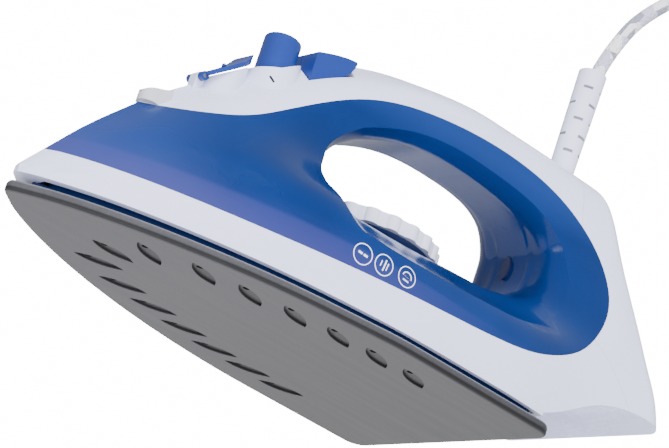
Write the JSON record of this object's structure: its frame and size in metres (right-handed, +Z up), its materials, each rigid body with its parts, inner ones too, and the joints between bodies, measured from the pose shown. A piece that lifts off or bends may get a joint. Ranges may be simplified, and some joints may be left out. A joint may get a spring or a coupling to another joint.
{
  "type": "steam iron",
  "caption": "Steam iron with a see-through blue water tank, soleplate with leaf-shaped steam dimples, turning dial and knob, push buttons, fill door and a braided cord with its plug.",
  "frame": {"origin": "centre of the soleplate's working face", "axes": "-X towards the nose, +X towards the heel, +Z up from the sole, left side of the iron at -Y"},
  "size_m": [0.3519, 0.1415, 0.235],
  "materials": {
    "soleplate": "brushed, coated grey",
    "heating_element": "dull steel sheath",
    "steam_chamber_cover": "pressed sheet",
    "cover_screws": "zinc plated",
    "sole_screws": "zinc plated",
    "thermostat": "ceramic and steel",
    "thermal_fuse": "glass-fibre sleeve",
    "heat_skirt": "navy phenolic",
    "tank_floor": "translucent blue",
    "lower_housing": "white",
    "water_tank": "translucent blue",
    "handle_cover": "white",
    "rear_cover": "white",
    "rear_cover_screws": "zinc plated",
    "fill_funnel": "white",
    "door_pin": "polished",
    "spray_nozzle": "milky",
    "spray_hose": "silicone",
    "burst_tube": "silicone",
    "intake_tubes": "natural",
    "spray_pump": "natural",
    "burst_pump": "natural",
    "spray_spring": "stainless wire",
    "burst_spring": "stainless wire",
    "valve_seat": "silicone",
    "dial_collar": "dark blue",
    "pilot_lens": "amber, translucent",
    "pilot_lamp": "neon tube",
    "terminal_block": "natural nylon",
    "cord_clamp": "natural nylon",
    "clamp_screws": "zinc plated",
    "lead_wires": "insulated copper",
    "heater_leads": "silicone braid",
    "cord_sleeve": "white, soft",
    "cord_tail": "braided",
    "power_cord": "white braid with lilac and grey threads",
    "cord_coil": "white braid with lilac and grey threads",
    "plug_body": "white moulded",
    "plug_pins": "nickel plated",
    "fill_door": "blue",
    "steam_knob": "blue",
    "steam_valve_rod": "natural",
    "valve_spring": "stainless wire",
    "spray_button": "blue",
    "spray_plunger": "natural",
    "burst_button": "blue",
    "burst_plunger": "natural",
    "temperature_dial": "white",
    "thermostat_shaft": "steel"
  },
  "bodies": {
    "body": {"soleplate": "soleplate", "heating_element": "heating_element", "steam_chamber_cover": "steam_chamber_cover", "cover_screws": "cover_screws", "sole_screws": "sole_screws", "thermostat": "thermostat", "thermal_fuse": "thermal_fuse", "heat_skirt": "heat_skirt", "tank_floor": "tank_floor", "lower_housing": "lower_housing", "water_tank": "water_tank", "handle_cover": "handle_cover", "rear_cover": "rear_cover", "rear_cover_screws": "rear_cover_screws", "fill_funnel": "fill_funnel", "door_pin": "door_pin", "spray_nozzle": "spray_nozzle", "spray_hose": "spray_hose", "burst_tube": "burst_tube", "intake_tubes": "intake_tubes", "spray_pump": "spray_pump", "burst_pump": "burst_pump", "spray_spring": "spray_spring", "burst_spring": "burst_spring", "valve_seat": "valve_seat", "dial_collar": "dial_collar", "pilot_lens": "pilot_lens", "pilot_lamp": "pilot_lamp", "terminal_block": "terminal_block", "cord_clamp": "cord_clamp", "clamp_screws": "clamp_screws", "lead_wires": "lead_wires", "heater_leads": "heater_leads", "cord_sleeve": "cord_sleeve", "cord_tail": "cord_tail", "power_cord": "power_cord", "cord_coil": "cord_coil", "plug_body": "plug_body", "plug_pins": "plug_pins"},
    "fill_door": {"fill_door": "fill_door"},
    "steam_knob": {"steam_knob": "steam_knob"},
    "steam_valve": {"steam_valve_rod": "steam_valve_rod", "valve_spring": "valve_spring"},
    "spray_button": {"spray_button": "spray_button", "spray_plunger": "spray_plunger"},
    "burst_button": {"burst_button": "burst_button", "burst_plunger": "burst_plunger"},
    "temperature_dial": {"temperature_dial": "temperature_dial", "thermostat_shaft": "thermostat_shaft"}
  },
  "joints": [
    {"name": "fill_door_hinge", "type": "hinge", "parent": "body", "child": "fill_door", "pos_m": [-0.0504, 0, 0.0726], "axis": [0, -1, 0], "range_deg": [0, 80]},
    {"name": "steam_knob_turn", "type": "hinge", "parent": "body", "child": "steam_knob", "pos_m": [-0.0213, 0, 0.095], "axis": [0, 0, 1], "range_deg": [0, 120]},
    {"name": "valve_lift", "type": "slide", "parent": "body", "child": "steam_valve", "axis": [0, 0, 1], "range_m": [0, 0.003], "deforming": ["valve_spring"]},
    {"name": "spray_press", "type": "slide", "parent": "body", "child": "spray_button", "axis": [0, 0, -1], "range_m": [0, 0.004], "stiffness_N_per_m": 400, "springref_m": -0.002, "deforming": ["spray_spring"]},
    {"name": "burst_press", "type": "slide", "parent": "body", "child": "burst_button", "axis": [0, 0, -1], "range_m": [0, 0.004], "stiffness_N_per_m": 400, "springref_m": -0.002, "deforming": ["burst_spring"]},
    {"name": "dial_turn", "type": "hinge", "parent": "body", "child": "temperature_dial", "pos_m": [0.04, 0, 0.052], "axis": [0, 0, 1], "range_deg": [0, 270]}
  ],
  "couplings": [
    {"joint": "valve_lift", "follows": "steam_knob_turn", "m_per_rad": 0.001432}
  ]
}
